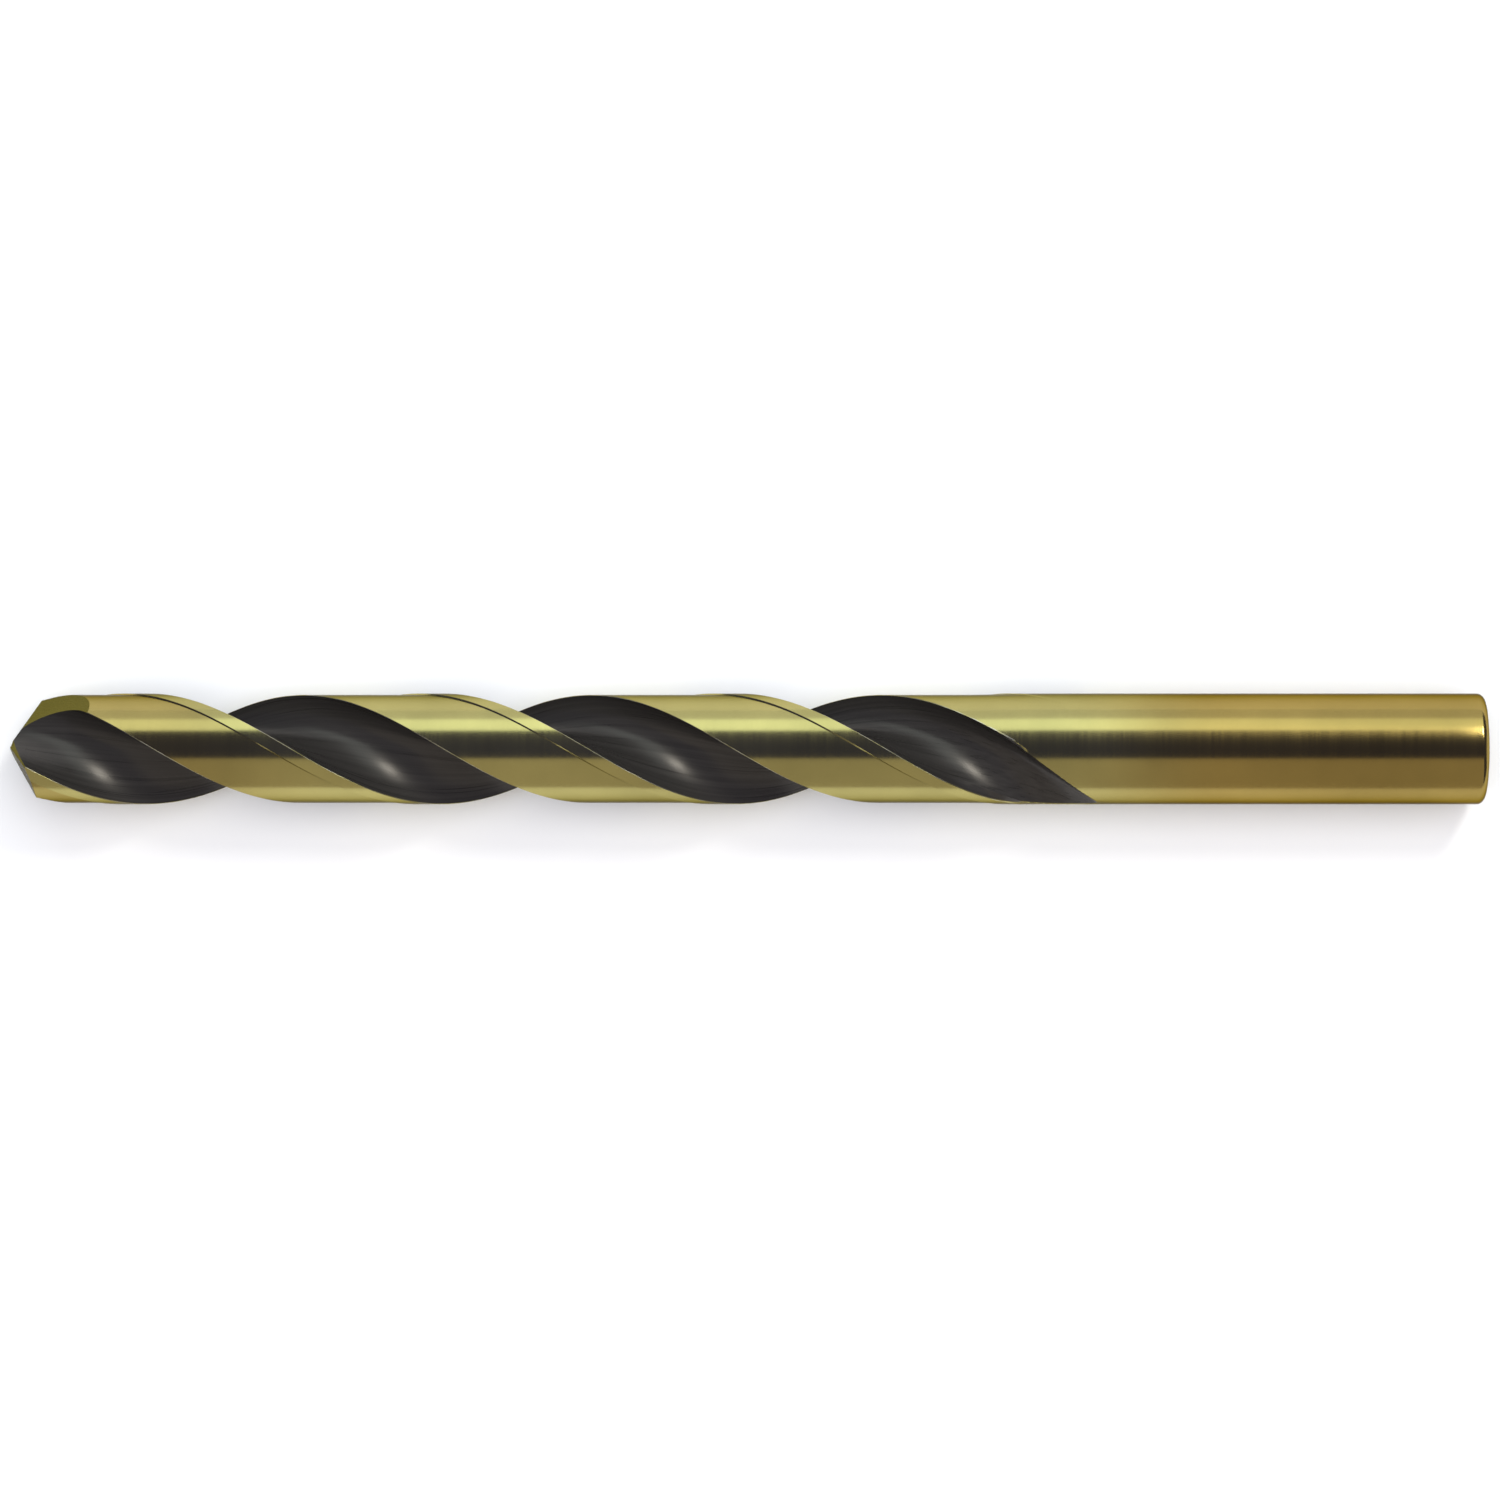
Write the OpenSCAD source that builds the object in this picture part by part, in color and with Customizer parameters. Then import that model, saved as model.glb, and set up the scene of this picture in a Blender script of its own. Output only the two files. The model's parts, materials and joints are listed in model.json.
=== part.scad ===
// Jobber-length twist drill bit: right-hand, two flutes, 135 degree split point, plain round shank.
// Millimetres. X runs along the drill's axis, from the point (-X) to the shank's back end (x = 0).
// Two pieces that the factory joins end to end: the fluted cutting bar and the plain shank.
// Angles go round X from +Y towards +Z, and "behind" means away from the way that the drill cuts.

// Which piece to draw

/* [Overall size] */
// Cutting diameter over the margins
drill_diameter = 10; // [6:0.5:13]
// Length from the point's tip to the shank's back end
total_length = 133; // [90:0.5:160]
// Distance from the tip to the end of the flutes
flute_length = 98; // [50:0.5:120]
// Distance from the tip to the friction weld between the two bars
weld_distance = 103.5; // [60:0.5:140]

/* [Flutes and lands] */
// Axial length of one full turn of a flute
lead = 53.2; // [30:0.1:80]
// Width of each land at the point, round the axis
land_at_point = 81.5; // [60:0.5:110]
// Growth of each land's width for each millimetre towards the shank, as the web thickens
land_taper = 0.17; // [0:0.01:0.4]
// Width of each margin, round the axis
margin_angle = 14.5; // [5:0.5:25]
// Diameter behind the margins, as a share of the cutting diameter
clearance_ratio = 0.975; // [0.88:0.005:0.99]
// Web thickness at the point
web_at_point = 1.6; // [0.8:0.05:2.5]
// Growth of the web for each millimetre towards the shank
web_taper = 0.017; // [0:0.001:0.03]
// Length over which the flutes run out
runout_length = 17; // [5:0.5:30]
// Distance from the tip at which a land's leading edge faces +Z
leading_edge_phase = -0.85; // [-26:0.1:26]

/* [Point] */
// Included angle of the point
point_angle = 135; // [90:1:150]
// Slope of each flank, falling away behind its lip
lip_relief = 0.34; // [0.1:0.01:0.5]
// Slope of the gash that splits each flank, along the axis for each millimetre outwards
gash_slope = 1.74; // [0.8:0.01:3]
// Distance that the gashes would pass in front of the tip, on the axis
gash_offset = 1; // [0.5:0.05:2.5]
// Direction that the gash faces, behind the lip
gash_direction = 101.5; // [70:0.5:120]

/* [Shank] */
// Radius of the rounded edge at the shank's back end
end_radius = 0.7; // [0.2:0.1:2]

/* [Hidden] */
radius = drill_diameter / 2;
clearance_radius = radius * clearance_ratio;
twist = 360 / lead;
cone_slope = 1 / tan(point_angle / 2);
// Width of the step down from a margin, round the axis
step_angle = 1.5;
// Distance from the tip at which the lands stop growing
land_taper_end = 70;
runout_start = flute_length - runout_length;
// Where the body clearance fades out to the full diameter
clearance_fade_start = runout_start + 4;
clearance_fade_end = flute_length - 2;
tip_zone_end = 9.5;

margin_steps = 4;
flank_steps = 3;
gash_steps = 5;
flute_steps = 10;
tip_rings = 8;
flute_rings = 62;
$fa = 2;
$fs = 0.3;

function clamp01(t) = min(1, max(0, t));
function polar(r, a) = [r * cos(a), r * sin(a)];

// ---- The point. Heights are distances from the tip along the axis; angles are measured behind a lip ----

// Two flat flanks, each falling away behind its own lip
function flank_slope(angle) = abs(cone_slope * cos(angle) + lip_relief * sin(angle));

// Two steep gashes that cut each flank's heel away and split the point
function gash_rise(angle) = gash_slope * abs(cos(angle - gash_direction));

function point_height(r, angle) = max(flank_slope(angle) * r, gash_rise(angle) * r - gash_offset);

// Height of the lip's outer corner, and the direction that the lip points in
lip_offset_angle = asin(web_at_point / 2 / radius);
corner_height = flank_slope(-lip_offset_angle) * radius;
function leading_angle(s) = 90 + twist * (s - leading_edge_phase);
lip_direction = leading_angle(corner_height) + lip_offset_angle;

// Crease between a flank and its gash: straight when seen along the axis, at this distance and direction
slope_change = polar(gash_slope, gash_direction) - [cone_slope, lip_relief];
crease_distance = gash_offset / norm(slope_change);
crease_direction = atan2(slope_change[1], slope_change[0]);
function crease_angle(r) = crease_direction - acos(min(1, crease_distance / r));

// Where the crease leaves the land, behind the leading edge
crease_end = crease_angle(clearance_radius);
crease_land_angle =
    crease_end + lip_direction - leading_angle(flank_slope(crease_end) * clearance_radius);

// ---- Cross-section of one land and one flute; each entry is [radius, angle behind the leading edge] ----

function web(s) = web_at_point + web_taper * s;
function land_angle(s) = land_at_point + land_taper * min(s, land_taper_end);
function flute_angle(s) = 180 - land_angle(s);

function clearance_at(s) =
    let (t = clamp01((s - clearance_fade_start) / (clearance_fade_end - clearance_fade_start)))
    clearance_radius + (radius - clearance_radius) * t * t * (3 - 2 * t);

function land_points(s) = concat(
    [for (i = [0 : margin_steps]) [radius, margin_angle * i / margin_steps]],
    [
        for (i = [0 : flank_steps - 1])
            let (from = margin_angle + step_angle)
            [clearance_at(s), from + (crease_land_angle - from) * i / flank_steps]
    ],
    [
        for (i = [0 : gash_steps - 1])
            [clearance_at(s), crease_land_angle + (land_angle(s) - crease_land_angle) * i / gash_steps]
    ]
);

// Flute points have the lip that the flute feeds along the first axis, and "ahead" of it along the second.
// The face turns with the helix, so that every slice of it meets the straight lip.
function face_turn(half_web, u) = atan2(half_web, u) + twist * cone_slope * u;
function face_width(half_web) = sqrt(radius * radius - half_web * half_web);
function corner_turn(s) = face_turn(web(s) / 2, face_width(web(s) / 2));

// The flute from the heel, round its wall to the web, and out along the lip's face.
// The wall is an arc that undercuts the heel and leaves the web without a corner.
function flute_points(s) =
    let (
        half_web = web(s) / 2,
        heel = polar(clearance_at(s), flute_angle(s) + corner_turn(s)),
        rise = heel[1] - half_web,
        wall_radius = (heel[0] * heel[0] + rise * rise) / (2 * rise),
        wall_turn = atan2(-heel[0], wall_radius - rise)
    )
    concat(
        [
            for (i = [0 : flute_steps - 1])
                let (turn = wall_turn * (1 - i / flute_steps))
                [-wall_radius * sin(turn), half_web + wall_radius * (1 - cos(turn))]
        ],
        [
            for (i = [0 : flute_steps - 1])
                let (u = face_width(half_web) * i / flute_steps)
                polar(norm([u, half_web]), face_turn(half_web, u))
        ]
    );

// How far the cutter has lifted out of the flute: an arc that ends where the flute is no longer cut
function cutter_lift(s) =
    let (
        depth = radius - web(flute_length) / 2,
        arc = (runout_length * runout_length + depth * depth) / (2 * depth),
        along = max(0, s - runout_start)
    )
    along >= runout_length ? depth * 1.3 : arc - sqrt(arc * arc - along * along);

// A lifted point of the flute, kept within the round bar, as an entry of the section
function lifted(p, s) =
    let (
        middle = corner_turn(s) + flute_angle(s) / 2,
        share = clamp01(radius - norm(p)),
        q = p + cutter_lift(s) * share * polar(1, middle),
        turn = atan2(q[1], q[0])
    )
    [min(norm(q), turn > middle ? clearance_at(s) : radius), 180 + corner_turn(s) - turn];

function half_section(s) = concat(land_points(s), [for (p = flute_points(s)) lifted(p, s)]);

crease_column = margin_steps + 1 + flank_steps;
land_steps = crease_column + gash_steps;
half_count = land_steps + 2 * flute_steps;
ring_count = 2 * half_count;

// ---- Rings of points in space ----

function turned(entry, s, side) = [entry[0], entry[1] + leading_angle(s) + 180 * side];

// Where the helix through one entry of the section meets the point's surface, found by halving
function start_height(index, side, low = 0, high = tip_zone_end, tries = 24) =
    let (
        s = (low + high) / 2,
        place = turned(half_section(s)[index], s, side),
        inside = s > point_height(place[0], place[1] - lip_direction)
    )
    tries == 0 ? s : start_height(index, side, inside ? low : s, inside ? s : high, tries - 1);

function in_space(place, s) =
    [s - total_length, place[0] * cos(place[1]), place[0] * sin(place[1])];

start_heights = [for (side = [0, 1]) for (i = [0 : half_count - 1]) start_height(i, side)];

// The rim of the point: where the sides of the lands and flutes meet its flanks and gashes
rim = [
    for (side = [0, 1])
        for (i = [0 : half_count - 1])
            let (s = start_heights[side * half_count + i])
            turned(half_section(s)[i], s, side)
];

tip_points = [
    for (ring = [0 : tip_rings - 1])
        for (side = [0, 1])
            for (i = [0 : half_count - 1])
                let (
                    start = start_heights[side * half_count + i],
                    s = start + (tip_zone_end - start) * ring / tip_rings
                )
                in_space(turned(half_section(s)[i], s, side), s)
];

flute_points_in_space = [
    for (ring = [0 : flute_rings])
        let (
            s = tip_zone_end + (flute_length - tip_zone_end) * ring / flute_rings,
            section = half_section(s)
        )
        for (side = [0, 1])
            for (entry = section)
                in_space(turned(entry, s, side), s)
];

// The weld face, as a last ring without more twist
weld_points = [
    for (side = [0, 1])
        for (entry = half_section(flute_length))
            [
                weld_distance - total_length,
                radius * cos(entry[1] + leading_angle(flute_length) + 180 * side),
                radius * sin(entry[1] + leading_angle(flute_length) + 180 * side)
            ]
];

ring_total = tip_rings + flute_rings + 2;
tip_index = ring_total * ring_count;
weld_centre_index = tip_index + 1;
cap_start = tip_index + 2;

// The point's surface on one land is a grid: rows from the web outwards, columns from the face to the heel
function rim_index(side, row, column) =
    row == flute_steps ? side * half_count + column
    : column == land_steps ? side * half_count + land_steps + flute_steps - row
    : ((1 - side) * half_count + land_steps + flute_steps + row) % ring_count;

function cap_index(side, row, column) =
    row == flute_steps || column == 0 || column == land_steps
        ? rim_index(side, row, column)
        : cap_start + (side * flute_steps + row) * (land_steps - 1) + column - 1;

cap_points = [
    for (side = [0, 1])
        for (row = [0 : flute_steps - 1])
            let (
                face = rim[rim_index(side, row, 0)] - [0, side == 0 ? 360 : 0],
                wall = rim[rim_index(side, row, land_steps)],
                edge = rim[side * half_count],
                heel = rim[side * half_count + land_steps],
                middle = rim[side * half_count + crease_column],
                crease_r = (face[0] + wall[0]) / 2 * middle[0] / (edge[0] + heel[0]) * 2,
                crease = [crease_r, crease_angle(crease_r) + lip_direction + 180 * side]
            )
            for (column = [1 : land_steps - 1])
                let (
                    outer = rim[side * half_count + column],
                    share = (outer[1] - edge[1]) / (middle[1] - edge[1]),
                    beyond = (outer[1] - middle[1]) / (heel[1] - middle[1]),
                    place = column < crease_column
                        ? face + (crease - face) * share
                        : crease + (wall - crease) * beyond
                )
                in_space(place, point_height(place[0], place[1] - lip_direction))
];

// Fluted cutting bar of high-speed steel, as far as the weld
module fluted_body() {
    color([0.62, 0.55, 0.28])
        polyhedron(
            points = concat(
                tip_points,
                flute_points_in_space,
                weld_points,
                [[-total_length, 0, 0], [weld_distance - total_length, 0, 0]],
                cap_points
            ),
            faces = concat(
                [
                    for (ring = [0 : ring_total - 2])
                        for (i = [0 : ring_count - 1])
                            let (
                                near = ring * ring_count,
                                far = near + ring_count,
                                next = (i + 1) % ring_count
                            )
                            each [[near + i, far + i, far + next], [near + i, far + next, near + next]]
                ],
                [
                    for (side = [0, 1])
                        for (row = [0 : flute_steps - 1])
                            for (column = [0 : land_steps - 1])
                                let (
                                    a = cap_index(side, row, column),
                                    b = cap_index(side, row + 1, column),
                                    c = cap_index(side, row + 1, column + 1),
                                    d = cap_index(side, row, column + 1)
                                )
                                each [[a, b, c], [a, c, d]]
                ],
                [
                    for (side = [0, 1])
                        for (column = [0 : land_steps - 1])
                            [tip_index, cap_index(side, 0, column), cap_index(side, 0, column + 1)]
                ],
                [
                    for (i = [0 : ring_count - 1])
                        let (last = (ring_total - 1) * ring_count)
                        [weld_centre_index, last + (i + 1) % ring_count, last + i]
                ]
            ),
            convexity = 10
        );
}

// Plain round shank: a true cylinder that the chuck grips, with a rounded back edge
module shank() {
    color([0.58, 0.49, 0.25])
        rotate([0, 90, 0])
            rotate_extrude()
                union() {
                    translate([0, weld_distance - total_length])
                        square([radius, total_length - weld_distance - end_radius]);
                    translate([0, -end_radius])
                        square([radius - end_radius, end_radius]);
                    translate([radius - end_radius, -end_radius])
                        intersection() {
                            circle(r = end_radius);
                            square(end_radius);
                        }
                }
}

fluted_body();
shank();
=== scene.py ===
"""Looks of a jobber-length twist drill in black and gold oxide, lying on a pale bench.

The fluted body and the shank are both rebuilt as finer closed meshes that follow the CAD model's own rules.
Lengths are in metres. s is the distance from the drill's tip, and angles go round X from +Y towards +Z.
"""

import json
import math

import bpy
import numpy as np
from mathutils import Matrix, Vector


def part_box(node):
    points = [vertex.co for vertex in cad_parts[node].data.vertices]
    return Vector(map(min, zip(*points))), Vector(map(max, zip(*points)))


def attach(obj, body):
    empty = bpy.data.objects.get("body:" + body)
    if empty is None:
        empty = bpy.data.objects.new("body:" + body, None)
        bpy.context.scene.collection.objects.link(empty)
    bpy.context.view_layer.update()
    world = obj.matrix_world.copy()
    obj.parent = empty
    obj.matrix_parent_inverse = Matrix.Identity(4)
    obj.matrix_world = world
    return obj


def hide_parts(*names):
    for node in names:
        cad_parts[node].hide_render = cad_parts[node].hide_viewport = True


MM = 0.001

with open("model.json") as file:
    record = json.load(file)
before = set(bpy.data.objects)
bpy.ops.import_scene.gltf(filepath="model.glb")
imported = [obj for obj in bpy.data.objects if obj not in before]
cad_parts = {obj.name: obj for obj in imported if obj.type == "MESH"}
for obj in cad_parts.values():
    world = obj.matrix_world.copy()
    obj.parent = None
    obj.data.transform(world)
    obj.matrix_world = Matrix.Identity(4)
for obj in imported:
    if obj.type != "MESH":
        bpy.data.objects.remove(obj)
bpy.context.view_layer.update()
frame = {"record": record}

body_low, body_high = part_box("fluted_body")
shank_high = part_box("shank")[1]
mounts = {mount["name"]: mount for mount in frame["record"]["mounts"]}

# ---- Driving dimensions, the same as the CAD model's ----

RADIUS = mounts["shank"]["dims"]["r_mm"] * MM
TIP_X = body_low.x
WELD_X = body_high.x
END_X = shank_high.x
END_RADIUS = RADIUS - mounts["shank_end"]["dims"]["r_mm"] * MM
FLUTE_LENGTH = 98 * MM
LEAD = 53.2 * MM
LAND_AT_POINT = math.radians(81.5)
LAND_TAPER = math.radians(0.17) / MM
LAND_TAPER_END = 70 * MM
MARGIN_ANGLE = math.radians(14.5)
STEP_ANGLE = math.radians(1.5)
CLEARANCE_RADIUS = RADIUS * 0.975
WEB_AT_POINT = 1.6 * MM
WEB_TAPER = 0.017
RUNOUT_LENGTH = 17 * MM
LEADING_EDGE_PHASE = -0.85 * MM
POINT_ANGLE = math.radians(135)
CONE_SLOPE = 1 / math.tan(POINT_ANGLE / 2)
LIP_RELIEF = 0.34
GASH_SLOPE = 1.74
GASH_OFFSET = 1.0 * MM
GASH_DIRECTION = math.radians(101.5)
TIP_ZONE_END = 9.5 * MM

# Width of the tiny flats along the cutting and heel edges
EDGE_BREAK = 0.045 * MM

TWIST = 2 * math.pi / LEAD
RUNOUT_START = FLUTE_LENGTH - RUNOUT_LENGTH
CLEARANCE_FADE = (RUNOUT_START + 4 * MM, FLUTE_LENGTH - 2 * MM)

# Mesh density: columns round one land and one flute, and rings along the drill
MARGIN_COLUMNS = 8
FLANK_COLUMNS = 14
GASH_COLUMNS = 22
FLUTE_COLUMNS = 24
TIP_RINGS = 40
FLUTE_RINGS = 150
RUNOUT_RINGS = 110
PLAIN_RINGS = 8
SHANK_COLUMNS = 256
SHANK_RINGS = 12
SHANK_EDGE_RINGS = 12

# Halvings that place the point's rim, to well under a micrometre
RIM_HALVINGS = 30

# Edges sharper than these stay sharp in the shading
BODY_SHARP_ANGLE = math.radians(14)
PLAIN_SHARP_ANGLE = math.radians(30)

# Places of the body's materials in its list
LAND_AND_FLUTE, MARGIN, POINT, EDGE = range(4)


# ---- The point's surface, as a height above the tip; angles are measured behind a lip ----


def flank_slope(angle):
    """Rise of a flat flank along the axis for each metre outwards."""
    return np.abs(CONE_SLOPE * np.cos(angle) + LIP_RELIEF * np.sin(angle))


def point_height(r, angle):
    """Two flat flanks, cut by the two gashes that split the point."""
    gash = GASH_SLOPE * np.abs(np.cos(angle - GASH_DIRECTION)) * r - GASH_OFFSET
    return np.maximum(flank_slope(angle) * r, gash)


def leading_angle(s):
    return math.pi / 2 + TWIST * (s - LEADING_EDGE_PHASE)


LIP_OFFSET = math.asin(WEB_AT_POINT / 2 / RADIUS)
LIP_DIRECTION = leading_angle(float(flank_slope(-LIP_OFFSET)) * RADIUS) + LIP_OFFSET

# The crease between a flank and its gash is straight when seen along the axis
SLOPE_CHANGE_U = GASH_SLOPE * math.cos(GASH_DIRECTION) - CONE_SLOPE
SLOPE_CHANGE_V = GASH_SLOPE * math.sin(GASH_DIRECTION) - LIP_RELIEF
CREASE_DISTANCE = GASH_OFFSET / math.hypot(SLOPE_CHANGE_U, SLOPE_CHANGE_V)
CREASE_DIRECTION = math.atan2(SLOPE_CHANGE_V, SLOPE_CHANGE_U)


def crease_angle(r):
    return CREASE_DIRECTION - np.arccos(np.minimum(1, CREASE_DISTANCE / r))


CREASE_END = float(crease_angle(CLEARANCE_RADIUS))
CREASE_HEIGHT = float(flank_slope(CREASE_END)) * CLEARANCE_RADIUS
CREASE_LAND_ANGLE = CREASE_END + LIP_DIRECTION - leading_angle(CREASE_HEIGHT)


# ---- Cross-section of one land and one flute ----


def smoothstep(t):
    t = np.clip(t, 0, 1)
    return t * t * (3 - 2 * t)


def clearance(s):
    start, end = CLEARANCE_FADE
    return CLEARANCE_RADIUS + (RADIUS - CLEARANCE_RADIUS) * smoothstep((s - start) / (end - start))


def cutter_lift(s):
    """How far the cutter has lifted out of the flute."""
    depth = RADIUS - (WEB_AT_POINT + WEB_TAPER * FLUTE_LENGTH) / 2
    arc = (RUNOUT_LENGTH**2 + depth**2) / (2 * depth)
    along = np.clip(s - RUNOUT_START, 0, RUNOUT_LENGTH)
    return arc - np.sqrt(arc**2 - along**2)


def half_web(s):
    return (WEB_AT_POINT + WEB_TAPER * s) / 2


def land_angle(s):
    return LAND_AT_POINT + LAND_TAPER * np.minimum(s, LAND_TAPER_END)


def face_turn(s, u):
    """Direction of a point of the face, u along the lip; the face turns with the helix."""
    return np.arctan2(half_web(s), u) + TWIST * CONE_SLOPE * u


def corner_turn(s):
    return face_turn(s, np.sqrt(RADIUS**2 - half_web(s) ** 2))


COLUMN_KINDS = (
    ("margin", MARGIN_COLUMNS + 1),
    ("flank", FLANK_COLUMNS),
    ("gash", GASH_COLUMNS + 1),
    ("wall", FLUTE_COLUMNS),
    ("face", FLUTE_COLUMNS + 1),
)
CREASE_COLUMN = MARGIN_COLUMNS + 1 + FLANK_COLUMNS
LAND_COUNT = CREASE_COLUMN + GASH_COLUMNS + 1
HALF_COLUMNS = sum(count for _, count in COLUMN_KINDS)


def column_table():
    """The kind of each column of half a section, and its share of the way through that kind."""
    kinds, shares = [], []
    for kind, count in COLUMN_KINDS:
        last = count if kind in ("flank", "wall") else count - 1
        kinds += [kind] * count
        shares += [i / last for i in range(count)]
    return kinds, shares


KINDS, SHARES = column_table()


def land_point(s, kind, t):
    """Radius and angle behind the leading edge, on a land."""
    edge = EDGE_BREAK / RADIUS
    if kind == "margin":
        return np.full_like(s, RADIUS), edge + (MARGIN_ANGLE - edge) * t
    step_end = MARGIN_ANGLE + STEP_ANGLE
    if kind == "flank":
        return clearance(s), step_end + (CREASE_LAND_ANGLE - step_end) * t
    return clearance(s), CREASE_LAND_ANGLE + (land_angle(s) - edge - CREASE_LAND_ANGLE) * t


def flute_point(s, kind, t):
    """Place in the section's plane, with the lip that the flute feeds along the first axis."""
    if kind == "face":
        u = t * np.sqrt((RADIUS - EDGE_BREAK) ** 2 - half_web(s) ** 2)
        r = np.hypot(u, half_web(s))
        turn = face_turn(s, u)
        return r * np.cos(turn), r * np.sin(turn)
    heel_turn = corner_turn(s) + math.pi - land_angle(s)
    heel_x = (clearance(s) - EDGE_BREAK) * np.cos(heel_turn)
    rise = (clearance(s) - EDGE_BREAK) * np.sin(heel_turn) - half_web(s)
    wall_radius = (heel_x**2 + rise**2) / (2 * rise)
    turn = np.arctan2(-heel_x, wall_radius - rise) * (1 - t)
    return -wall_radius * np.sin(turn), half_web(s) + wall_radius * (1 - np.cos(turn))


def lifted(s, x, y):
    """Radius, angle behind the leading edge and the round bar's radius, after the cutter has lifted."""
    middle = corner_turn(s) + (math.pi - land_angle(s)) / 2
    lift = cutter_lift(s) * np.clip((RADIUS - np.hypot(x, y)) / MM, 0, 1)
    x = x + lift * np.cos(middle)
    y = y + lift * np.sin(middle)
    turn = np.arctan2(y, x)
    limit = np.where(turn > middle, clearance(s), RADIUS)
    return np.minimum(np.hypot(x, y), limit), math.pi + corner_turn(s) - turn, limit


def half_section(s):
    """Radius, angle behind the leading edge and the round bar's radius; s has one column for each point."""
    radius, angle, limit = np.zeros_like(s), np.zeros_like(s), np.zeros_like(s)
    for column, (kind, t) in enumerate(zip(KINDS, SHARES)):
        here = s[:, column]
        if kind in ("wall", "face"):
            place = lifted(here, *flute_point(here, kind, t))
        else:
            r, behind = land_point(here, kind, t)
            place = (r, behind, r)
        radius[:, column], angle[:, column], limit[:, column] = place
    return radius, angle, limit


def whole_section(s):
    """Radius, angle round X, and depth below the ground surfaces, at distances s for both halves."""
    parts = []
    for side in (0, 1):
        columns = s[:, side * HALF_COLUMNS : (side + 1) * HALF_COLUMNS]
        radius, angle, limit = half_section(columns)
        parts.append((radius, angle + leading_angle(columns) + math.pi * side, limit - radius))
    return [np.concatenate(group, axis=1) for group in zip(*parts)]


# ---- Meshes ----


def rim_distances():
    """Distance from the tip at which each column meets the point's surface, found by halving."""
    low = np.zeros((1, 2 * HALF_COLUMNS))
    high = np.full((1, 2 * HALF_COLUMNS), TIP_ZONE_END)
    for _ in range(RIM_HALVINGS):
        middle = (low + high) / 2
        radius, angle, _ = whole_section(middle)
        inside = middle > point_height(radius, angle - LIP_DIRECTION)
        high = np.where(inside, middle, high)
        low = np.where(inside, low, middle)
    return high


def ring_distances():
    """Distance from the tip of every ring and column; the first ring is the point's rim."""
    rim = rim_distances()
    shares = np.arange(TIP_RINGS)[:, None] / TIP_RINGS
    tip_zone = rim + (TIP_ZONE_END - rim) * shares
    flutes = np.linspace(TIP_ZONE_END, RUNOUT_START, FLUTE_RINGS, endpoint=False)
    runout = np.linspace(RUNOUT_START, FLUTE_LENGTH, RUNOUT_RINGS)
    rest = np.concatenate([flutes, runout])
    return np.vstack([tip_zone, np.repeat(rest[:, None], 2 * HALF_COLUMNS, axis=1)])


def in_space(s, radius, angle):
    return np.stack([TIP_X + s, radius * np.cos(angle), radius * np.sin(angle)], axis=-1)


def build_mesh(name, points, quads, triangles, smooth_angle):
    """A mesh object of the given faces, shaded smooth except across edges sharper than the angle."""
    mesh = bpy.data.meshes.new(name)
    faces = [list(face) for face in quads] + [list(face) for face in triangles]
    mesh.from_pydata(points.tolist(), [], faces)
    mesh.validate()
    mesh.update()
    mesh.shade_smooth()
    mesh.set_sharp_from_angle(angle=smooth_angle)
    piece = bpy.data.objects.new(name, mesh)
    bpy.context.scene.collection.objects.link(piece)
    return piece


def tube_quads(ring_count, column_count):
    """Faces between neighbouring rings that go round X from +Y towards +Z and advance along +X."""
    ring = np.arange(ring_count - 1)[:, None] * column_count
    column = np.arange(column_count)[None, :]
    following = (column + 1) % column_count
    return np.stack(
        [ring + column, ring + following, ring + column_count + following, ring + column_count + column],
        axis=-1,
    ).reshape(-1, 4)


def column_materials():
    """Material index of the strip of faces that starts at each column of half a section."""
    strips = [MARGIN if kind == "margin" else LAND_AND_FLUTE for kind in KINDS]
    strips[MARGIN_COLUMNS] = LAND_AND_FLUTE
    # The strips along the heel and cutting edges take the worn edge material, whose pale steel is partly a
    # painted highlight
    strips[LAND_COUNT - 1] = EDGE
    strips[HALF_COLUMNS - 1] = EDGE
    return strips


# The point's surface on one land is a grid: rows from the web outwards, columns from the face to the heel
CAP_ROWS = np.arange(FLUTE_COLUMNS + 1)


def cap_sides(side):
    """Rim columns at the face and at the heel wall, one for each row."""
    face = (1 - side) * HALF_COLUMNS + LAND_COUNT + FLUTE_COLUMNS + CAP_ROWS
    wall = side * HALF_COLUMNS + LAND_COUNT + FLUTE_COLUMNS - CAP_ROWS
    return face, wall


def cap_places(side, rim_radius, rim_angle):
    """Radius and angle of the grid's inner points; one column follows the crease between flank and gash."""
    face, wall = cap_sides(side)
    face_angle = rim_angle[face] - (1 - side) * 2 * math.pi
    arc = slice(side * HALF_COLUMNS, side * HALF_COLUMNS + LAND_COUNT)
    arc_radius, arc_angle = rim_radius[arc], rim_angle[arc]
    sides = rim_radius[face] + rim_radius[wall]
    crease_radius = sides * arc_radius[CREASE_COLUMN] / (arc_radius[0] + arc_radius[-1])
    crease = crease_angle(crease_radius) + LIP_DIRECTION + math.pi * side
    to_crease = arc_angle[1:CREASE_COLUMN] - arc_angle[0]
    past_crease = arc_angle[CREASE_COLUMN:-1] - arc_angle[CREASE_COLUMN]
    before = to_crease / (arc_angle[CREASE_COLUMN] - arc_angle[0])
    after = past_crease / (arc_angle[-1] - arc_angle[CREASE_COLUMN])

    def blend(start, middle, end):
        first = start[:, None] + (middle - start)[:, None] * before
        second = middle[:, None] + (end - middle)[:, None] * after
        return np.concatenate([first, second], axis=1)

    return (
        blend(rim_radius[face], crease_radius, rim_radius[wall]),
        blend(face_angle, crease, rim_angle[wall]),
    )


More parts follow.
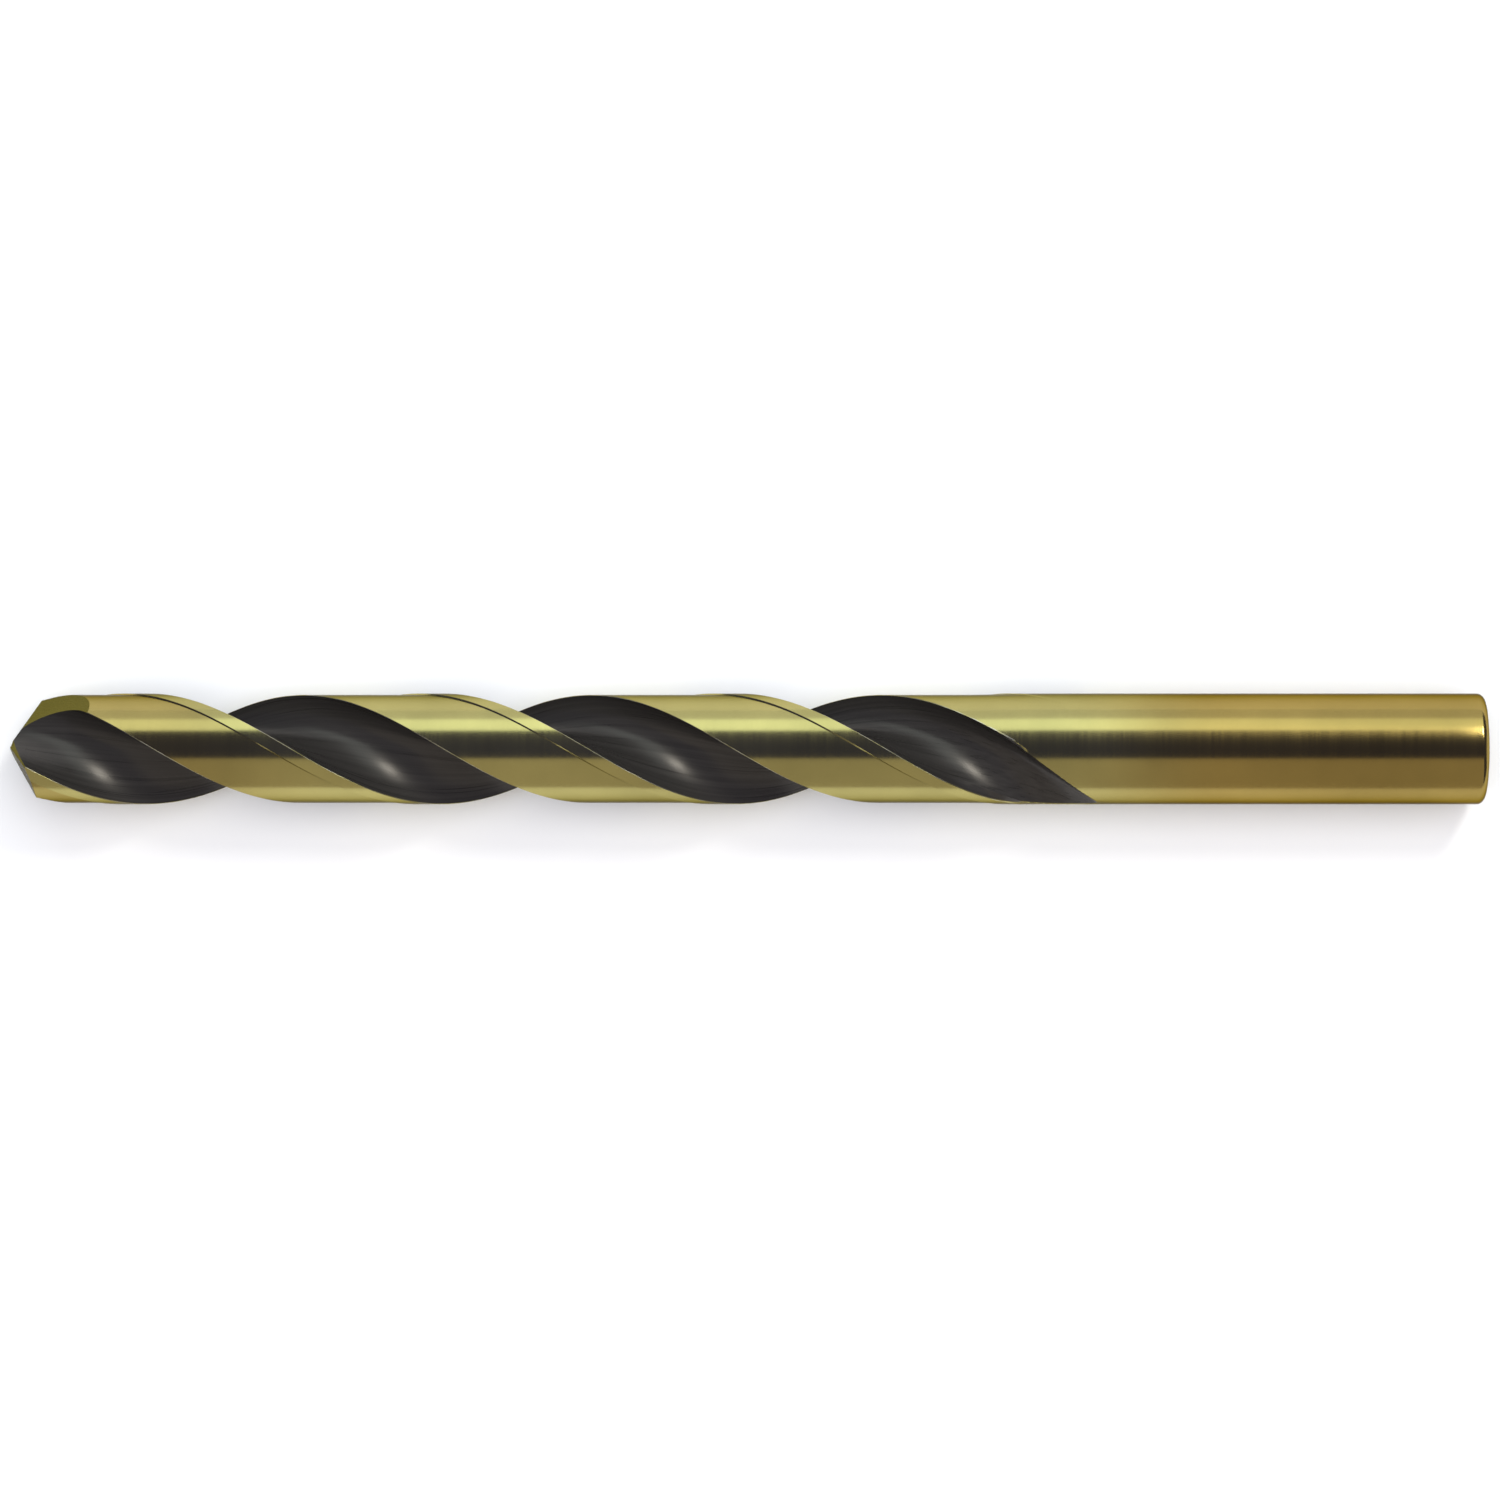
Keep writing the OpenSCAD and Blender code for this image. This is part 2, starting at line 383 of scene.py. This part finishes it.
def cap_grid(side, rim_start, inner_start):
    """Point numbers of one land's grid, from the rim's first point and the grid's first inner point."""
    face, wall = cap_sides(side)
    grid = np.empty((FLUTE_COLUMNS + 2, LAND_COUNT), int)
    inner = grid[:-1, 1:-1]
    inner[:] = inner_start + np.arange(inner.size).reshape(inner.shape)
    grid[:-1, 0] = rim_start + face
    grid[:-1, -1] = rim_start + wall
    grid[-1] = rim_start + side * HALF_COLUMNS + np.arange(LAND_COUNT)
    return grid


def grid_quads(grid):
    return np.stack([grid[:-1, :-1], grid[:-1, 1:], grid[1:, 1:], grid[1:, :-1]], axis=-1).reshape(-1, 4)


def fluted_body_piece():
    """The whole fluted bar: point, flutes, lands, run-out and the plain round length up to the weld."""
    columns = 2 * HALF_COLUMNS
    distances = ring_distances()
    radius, angle, depth = whole_section(distances)
    rings = [in_space(distances, radius, angle)]
    last_y = RADIUS * np.cos(angle[-1])
    last_z = RADIUS * np.sin(angle[-1])
    for x in np.linspace(TIP_X + FLUTE_LENGTH, WELD_X, PLAIN_RINGS + 1)[1:]:
        rings.append(np.stack([np.full(columns, x), last_y, last_z], axis=-1)[None])
    ring_count = len(distances) + PLAIN_RINGS

    rim_start = 2
    inner_start = rim_start + ring_count * columns
    inner_points, grids = [], []
    for side in (0, 1):
        inner_radius, inner_angle = cap_places(side, radius[0], angle[0])
        height = point_height(inner_radius, inner_angle - LIP_DIRECTION)
        inner_points.append(in_space(height, inner_radius, inner_angle).reshape(-1, 3))
        grids.append(cap_grid(side, rim_start, inner_start + side * inner_radius.size))

    ends = np.array([[TIP_X, 0, 0], [WELD_X, 0, 0]])
    points = np.concatenate([ends] + [ring.reshape(-1, 3) for ring in rings] + inner_points)
    tube = tube_quads(ring_count, columns) + rim_start
    cap = np.concatenate([grid_quads(grid) for grid in grids])
    web_row = np.concatenate([np.stack([grid[0, 1:], grid[0, :-1]], axis=-1) for grid in grids])
    column = np.arange(columns)
    last = rim_start + (ring_count - 1) * columns
    tip_fan = np.column_stack([np.zeros(len(web_row), int), web_row])
    weld_fan = np.stack([np.ones_like(column), last + column, last + (column + 1) % columns], axis=-1)
    quads = np.concatenate([tube, cap])
    triangles = np.concatenate([tip_fan, weld_fan])
    piece = build_mesh("drill_body", points, quads, triangles, BODY_SHARP_ANGLE)

    attribute = piece.data.attributes.new("flute_depth", "FLOAT", "POINT")
    values = np.zeros(len(points), np.float32)
    values[rim_start : rim_start + depth.size] = depth.reshape(-1)
    attribute.data.foreach_set("value", values)

    margins_end = (CLEARANCE_FADE[0] + CLEARANCE_FADE[1]) / 2
    fluted = np.sum(distances[:-1, 0] < margins_end)
    strips = np.tile(column_materials() * 2, fluted)
    plain = np.full(len(tube) - len(strips), LAND_AND_FLUTE)
    point = np.full(len(cap) + len(tip_fan), POINT)
    indices = np.concatenate([strips, plain, point, np.full(len(weld_fan), LAND_AND_FLUTE)])
    piece.data.polygons.foreach_set("material_index", indices.astype(np.int32))
    return piece


def shank_piece():
    """The plain round shank, with its rounded back edge."""
    straight_end = END_X - END_RADIUS
    outline = [(WELD_X, RADIUS)]
    for i in range(1, SHANK_RINGS + 1):
        outline.append((WELD_X + (straight_end - WELD_X) * i / SHANK_RINGS, RADIUS))
    for i in range(1, SHANK_EDGE_RINGS + 1):
        turn = math.radians(90) * i / SHANK_EDGE_RINGS
        r = RADIUS - END_RADIUS * (1 - math.cos(turn))
        outline.append((straight_end + END_RADIUS * math.sin(turn), r))
    outline += [(END_X, (RADIUS - END_RADIUS) * share) for share in (0.95, 0.6, 0.3)]

    angle = 2 * math.pi * np.arange(SHANK_COLUMNS) / SHANK_COLUMNS
    rings = []
    for x, r in outline:
        rings.append(np.stack([np.full(SHANK_COLUMNS, x), r * np.cos(angle), r * np.sin(angle)], axis=-1))
    ends = np.array([[WELD_X, 0, 0], [END_X, 0, 0]])
    points = np.concatenate([ends] + rings)
    quads = tube_quads(len(outline), SHANK_COLUMNS) + 2
    column = np.arange(SHANK_COLUMNS)
    following = (column + 1) % SHANK_COLUMNS
    last = 2 + (len(outline) - 1) * SHANK_COLUMNS
    weld_fan = np.stack([np.zeros_like(column), 2 + following, 2 + column], axis=-1)
    end_fan = np.stack([np.ones_like(column), last + column, last + following], axis=-1)
    triangles = np.concatenate([weld_fan, end_fan])
    return build_mesh("drill_shank", points, quads, triangles, PLAIN_SHARP_ANGLE)


# ---- Materials ----

GOLD = (0.400, 0.350, 0.130, 1)
BROWN_GOLD = (0.330, 0.238, 0.070, 1)
BRIGHT_GOLD = (0.420, 0.368, 0.137, 1)
POINT_GOLD = (0.150, 0.132, 0.042, 1)
BLACK_OXIDE = (0.046, 0.042, 0.038, 1)
FLOOR_WHITE = (1, 1, 1, 1)
# Pale steel for the worn edge strips, which also paints the highlight that the sharp edges catch
WORN_STEEL_AND_HIGHLIGHT = (0.50, 0.47, 0.36, 1)

# Reflectance of the gold film at grazing angles, as a share of a bare metal's
GRAZING_TINT = (0.34, 0.32, 0.30, 1)

# Places where the gold's tone changes: over the weld, and from behind the point towards the middle
WELD_TONES = (WELD_X - 10 * MM, WELD_X + 6 * MM)
POINT_TONES = (TIP_X + 12 * MM, TIP_X + 32 * MM)

# Depths below the lands between which the gold gives way to black
OXIDE_DEPTHS = (0.03 * MM, 0.09 * MM)

# Height of the grinding lines in the bump of every oxide
LINE_HEIGHT = 0.02 * MM


class Graph:
    """A few short cuts for building a material's nodes."""

    def __init__(self, name):
        self.material = bpy.data.materials.new(name)
        self.material.use_nodes = True
        self.tree = self.material.node_tree
        self.tree.nodes.clear()
        self.shader = self.node("ShaderNodeBsdfPrincipled")
        output = self.node("ShaderNodeOutputMaterial")
        self.link(self.shader.outputs["BSDF"], output.inputs["Surface"])
        self.coords = self.node("ShaderNodeTexCoord").outputs["Object"]

    def node(self, kind, **settings):
        made = self.tree.nodes.new(kind)
        for key, value in settings.items():
            setattr(made, key, value)
        return made

    def link(self, source, target):
        self.tree.links.new(source, target)

    def scaled(self, vector, scale):
        mapping = self.node("ShaderNodeMapping")
        mapping.inputs["Scale"].default_value = scale
        self.link(vector, mapping.inputs["Vector"])
        return mapping.outputs["Vector"]

    def noise(self, vector, scale, detail=2.0):
        noise = self.node("ShaderNodeTexNoise")
        noise.inputs["Scale"].default_value = scale
        noise.inputs["Detail"].default_value = detail
        self.link(vector, noise.inputs["Vector"])
        return noise.outputs["Fac"]

    def mapped(self, value, low, high, to_low, to_high, smooth=False):
        mapped = self.node("ShaderNodeMapRange")
        mapped.interpolation_type = "SMOOTHSTEP" if smooth else "LINEAR"
        for socket, number in zip(("From Min", "From Max", "To Min", "To Max"), (low, high, to_low, to_high)):
            mapped.inputs[socket].default_value = number
        self.link(value, mapped.inputs["Value"])
        return mapped.outputs["Result"]

    def math(self, operation, a, b):
        made = self.node("ShaderNodeMath", operation=operation)
        for socket, value in zip(made.inputs, (a, b)):
            if isinstance(value, (int, float)):
                socket.default_value = value
            else:
                self.link(value, socket)
        return made.outputs["Value"]

    def mix(self, share, a, b):
        made = self.node("ShaderNodeMix", data_type="RGBA")
        self.link(share, made.inputs["Factor"])
        inputs = [socket for socket in made.inputs if socket.type == "RGBA"]
        for socket, value in zip(inputs, (a, b)):
            if isinstance(value, tuple):
                socket.default_value = value
            else:
                self.link(value, socket)
        return [socket for socket in made.outputs if socket.type == "RGBA"][0]

    def bump(self, height, strength, distance):
        made = self.node("ShaderNodeBump")
        made.inputs["Strength"].default_value = strength
        made.inputs["Distance"].default_value = distance
        self.link(height, made.inputs["Height"])
        self.link(made.outputs["Normal"], self.shader.inputs["Normal"])


def shade(colour, factor):
    return tuple(channel * factor for channel in colour[:3]) + (1,)


def oxide_colour(graph, base, brown):
    """Gold oxide that drifts in tone, and is browner behind the point and past the weld."""
    parts = graph.node("ShaderNodeSeparateXYZ")
    graph.link(graph.coords, parts.inputs["Vector"])
    x = parts.outputs["X"]
    past_weld = graph.mapped(x, *WELD_TONES, 0, 1, smooth=True)
    near_point = graph.mapped(x, *POINT_TONES, 0.6, 0, smooth=True)
    brownness = graph.math("MAXIMUM", past_weld, near_point)
    drift = graph.mapped(graph.noise(graph.coords, 110, 3), 0.3, 0.7, 0, 1)
    gold = graph.mix(drift, shade(base, 0.88), shade(base, 1.1))
    browner = graph.mix(drift, shade(brown, 0.9), shade(brown, 1.1))
    return graph.mix(brownness, gold, browner)


def ground_rings(graph):
    """Fine lines round the bar, as a cylindrical grinder leaves them."""
    fine = graph.noise(graph.scaled(graph.coords, (7000, 90, 90)), 1, 2)
    coarse = graph.noise(graph.scaled(graph.coords, (1600, 60, 60)), 1, 2)
    return graph.math("ADD", graph.math("MULTIPLY", fine, 0.6), graph.math("MULTIPLY", coarse, 0.4))


def flute_lines(graph):
    """Lines that follow the helix, as a flute grinder leaves them."""
    parts = graph.node("ShaderNodeSeparateXYZ")
    graph.link(graph.coords, parts.inputs["Vector"])
    turn = graph.math("MULTIPLY", parts.outputs["X"], -TWIST)
    straightened = graph.node("ShaderNodeVectorRotate", rotation_type="X_AXIS")
    graph.link(graph.coords, straightened.inputs["Vector"])
    graph.link(turn, straightened.inputs["Angle"])
    return graph.noise(graph.scaled(straightened.outputs["Vector"], (45, 3200, 3200)), 1, 3)


def body_material():
    """Gold oxide on the ground lands and black oxide in the flutes, split by the depth below the lands."""
    graph = Graph("oxide_body")
    rings = ground_rings(graph)
    lines = flute_lines(graph)
    depth = graph.node("ShaderNodeAttribute", attribute_name="flute_depth", attribute_type="GEOMETRY")
    in_flute = graph.mapped(depth.outputs["Fac"], *OXIDE_DEPTHS, 0, 1)
    gold = oxide_colour(graph, GOLD, BROWN_GOLD)
    streaks = graph.mapped(lines, 0.35, 0.65, 0, 1)
    black = graph.mix(streaks, shade(BLACK_OXIDE, 0.88), shade(BLACK_OXIDE, 1.14))
    graph.link(graph.mix(in_flute, gold, black), graph.shader.inputs["Base Color"])
    gold_roughness = graph.mapped(rings, 0.3, 0.7, 0.17, 0.23)
    flute_roughness = graph.mapped(lines, 0.3, 0.7, 0.26, 0.33)
    spread = graph.math("SUBTRACT", flute_roughness, gold_roughness)
    roughness = graph.math("ADD", gold_roughness, graph.math("MULTIPLY", spread, in_flute))
    graph.link(roughness, graph.shader.inputs["Roughness"])
    graph.link(graph.mapped(in_flute, 0, 1, 1, 0.5), graph.shader.inputs["Metallic"])
    graph.shader.inputs["Specular Tint"].default_value = GRAZING_TINT
    share = graph.math("SUBTRACT", 1, in_flute)
    height = graph.math("ADD", graph.math("MULTIPLY", rings, share), graph.math("MULTIPLY", lines, in_flute))
    graph.bump(height, 0.10, LINE_HEIGHT)
    return graph.material


def gold_material(name, base, brown, roughness, strength):
    """Gold oxide on surfaces that a grinder left all gold."""
    graph = Graph(name)
    rings = ground_rings(graph)
    graph.link(oxide_colour(graph, base, brown), graph.shader.inputs["Base Color"])
    low, high = roughness
    graph.link(graph.mapped(rings, 0.3, 0.7, low, high), graph.shader.inputs["Roughness"])
    graph.shader.inputs["Metallic"].default_value = 1
    graph.shader.inputs["Specular Tint"].default_value = GRAZING_TINT
    graph.bump(rings, strength, LINE_HEIGHT)
    return graph.material


def point_material():
    """Gold oxide on the point's ground facets, with straight grinding lines."""
    graph = Graph("oxide_point")
    lines = graph.noise(graph.scaled(graph.coords, (1500, 5200, 260)), 1, 2)
    graph.link(oxide_colour(graph, POINT_GOLD, POINT_GOLD), graph.shader.inputs["Base Color"])
    graph.link(graph.mapped(lines, 0.3, 0.7, 0.24, 0.30), graph.shader.inputs["Roughness"])
    graph.shader.inputs["Metallic"].default_value = 1
    graph.shader.inputs["Specular Tint"].default_value = GRAZING_TINT
    graph.bump(lines, 0.04, LINE_HEIGHT)
    return graph.material


def edge_wear_and_highlight_material():
    """Edges where the oxide has rubbed through to the steel; the pale steel is partly a painted highlight
    along the edges.
    """
    graph = Graph("worn_edge_and_painted_highlight")
    # Random patches of pale steel along the edges: partly wear, partly a painted highlight
    wear_and_highlight = graph.mapped(graph.noise(graph.coords, 900, 3), 0.35, 0.65, 0, 1)
    graph.link(graph.mix(wear_and_highlight, shade(BRIGHT_GOLD, 0.9), WORN_STEEL_AND_HIGHLIGHT), graph.shader.inputs["Base Color"])
    graph.link(graph.mapped(wear_and_highlight, 0, 1, 0.42, 0.3), graph.shader.inputs["Roughness"])
    graph.shader.inputs["Metallic"].default_value = 1
    return graph.material


def floor_material():
    """Pale matt bench surface."""
    graph = Graph("pale_floor")
    tone = graph.mapped(graph.noise(graph.coords, 12, 3), 0.3, 0.7, 0, 1)
    pale = graph.mix(tone, shade(FLOOR_WHITE, 0.90), shade(FLOOR_WHITE, 0.92))
    graph.link(pale, graph.shader.inputs["Base Color"])
    graph.shader.inputs["Roughness"].default_value = 0.9
    graph.shader.inputs["Specular IOR Level"].default_value = 0.1
    return graph.material


# ---- Studio ----

FLOOR_HALF_WIDTH = 3.0
FLOOR_GAP = 0.02 * MM

DIM_ROOM = (0.062, 0.066, 0.165, 1)
PALE_ROOM = (0.85, 0.84, 0.82, 1)

# Angles from the X axis at which the room is fully pale, and at which it is dim
PALE_WITHIN = math.radians(8)
DIM_BEYOND = math.radians(28)

# Every panel's distance from the drill, and how far the flute lamp stands towards the shank
LIGHT_DISTANCE = 1.1
LAMP_SHIFT = 0.45

# Lens and sensor in camera millimetres, the view's width at the drill, and the view's centre in X and Y
LENS = 150
SENSOR = 36
FRAME_WIDTH = (END_X - TIP_X) * 1.0177
VIEW_CENTRE = ((TIP_X + END_X) / 2 + 0.27 * MM, -0.10 * MM)


def floor_piece():
    half = FLOOR_HALF_WIDTH
    z = -RADIUS - FLOOR_GAP
    corners = np.array([[-half, -half, z], [half, -half, z], [half, half, z], [-half, half, z]])
    piece = build_mesh("floor", corners, [(0, 1, 2, 3)], [], PLAIN_SHARP_ANGLE)
    piece.data.materials.append(floor_material())
    return piece


def softbox(name, direction_angle, span, length, radiance, tint):
    """A soft panel that runs along X; the angle is measured from straight up towards +Y."""
    light = bpy.data.lights.new(name, "AREA")
    light.shape = "RECTANGLE"
    light.size = length
    light.size_y = 2 * LIGHT_DISTANCE * math.tan(span / 2)
    light.energy = radiance * math.pi * light.size * light.size_y
    light.color = tint
    piece = bpy.data.objects.new(name, light)
    bpy.context.scene.collection.objects.link(piece)
    piece.location = (
        (TIP_X + END_X) / 2,
        LIGHT_DISTANCE * math.sin(direction_angle),
        LIGHT_DISTANCE * math.cos(direction_angle),
    )
    piece.rotation_euler = (-direction_angle, 0, 0)
    return piece


def surroundings():
    """A dim room, for the dark band along the bar, that is pale beyond the bar's two ends."""
    world = bpy.data.worlds.new("surroundings")
    world.use_nodes = True
    tree = world.node_tree
    parts = tree.nodes.new("ShaderNodeSeparateXYZ")
    tree.links.new(tree.nodes.new("ShaderNodeTexCoord").outputs["Generated"], parts.inputs["Vector"])
    along = tree.nodes.new("ShaderNodeMath")
    along.operation = "ABSOLUTE"
    tree.links.new(parts.outputs["X"], along.inputs[0])
    share = tree.nodes.new("ShaderNodeMapRange")
    share.interpolation_type = "SMOOTHSTEP"
    share.inputs["From Min"].default_value = math.cos(DIM_BEYOND)
    share.inputs["From Max"].default_value = math.cos(PALE_WITHIN)
    tree.links.new(along.outputs["Value"], share.inputs["Value"])
    colour = tree.nodes.new("ShaderNodeMix")
    colour.data_type = "RGBA"
    tree.links.new(share.outputs["Result"], colour.inputs["Factor"])
    dim, pale = [socket for socket in colour.inputs if socket.type == "RGBA"]
    dim.default_value = DIM_ROOM
    pale.default_value = PALE_ROOM
    mixed = [socket for socket in colour.outputs if socket.type == "RGBA"][0]
    tree.links.new(mixed, tree.nodes["Background"].inputs["Color"])
    bpy.context.scene.world = world


def studio():
    surroundings()
    softbox("key_softbox", math.radians(52.5), math.radians(27), 1.1, 1.93, (0.88, 1.0, 0.98))
    softbox("key_wing", math.radians(78), math.radians(24), 1.1, 1.0, (0.95, 1.0, 0.98))
    softbox("fill_softbox", math.radians(-55), math.radians(70), 1.6, 0.52, (1.0, 0.90, 0.62))

    # A smaller, brighter lamp makes the soft highlight in each flute
    lamp = softbox("flute_lamp", math.radians(38), math.radians(13), 0.24, 26.0, (1.0, 1.0, 0.93))
    lamp.location.x += LAMP_SHIFT

    # A panel overhead lights the floor, and is kept out of the polished surfaces
    overhead = softbox("floor_light", 0, math.radians(55), 3.0, 1.9, (1.0, 1.0, 0.99))
    overhead.visible_glossy = False
    bpy.context.scene.view_settings.view_transform = "Standard"


def camera():
    data = bpy.data.cameras.new("camera")
    data.sensor_width = SENSOR
    data.lens = LENS
    piece = bpy.data.objects.new("camera", data)
    bpy.context.scene.collection.objects.link(piece)
    height = FRAME_WIDTH * LENS / SENSOR
    piece.location = (*VIEW_CENTRE, height)
    bpy.context.scene.camera = piece


def main():
    body = fluted_body_piece()
    for material in (
        body_material(),
        gold_material("oxide_margin", BRIGHT_GOLD, BRIGHT_GOLD, (0.16, 0.22), 0.08),
        point_material(),
        edge_wear_and_highlight_material(),
    ):
        body.data.materials.append(material)
    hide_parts("fluted_body")
    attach(body, "root")

    shank = shank_piece()
    shank.data.materials.append(gold_material("oxide_shank", GOLD, BROWN_GOLD, (0.17, 0.23), 0.10))
    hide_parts("shank")
    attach(shank, "root")

    floor_piece()
    studio()
    camera()


main()
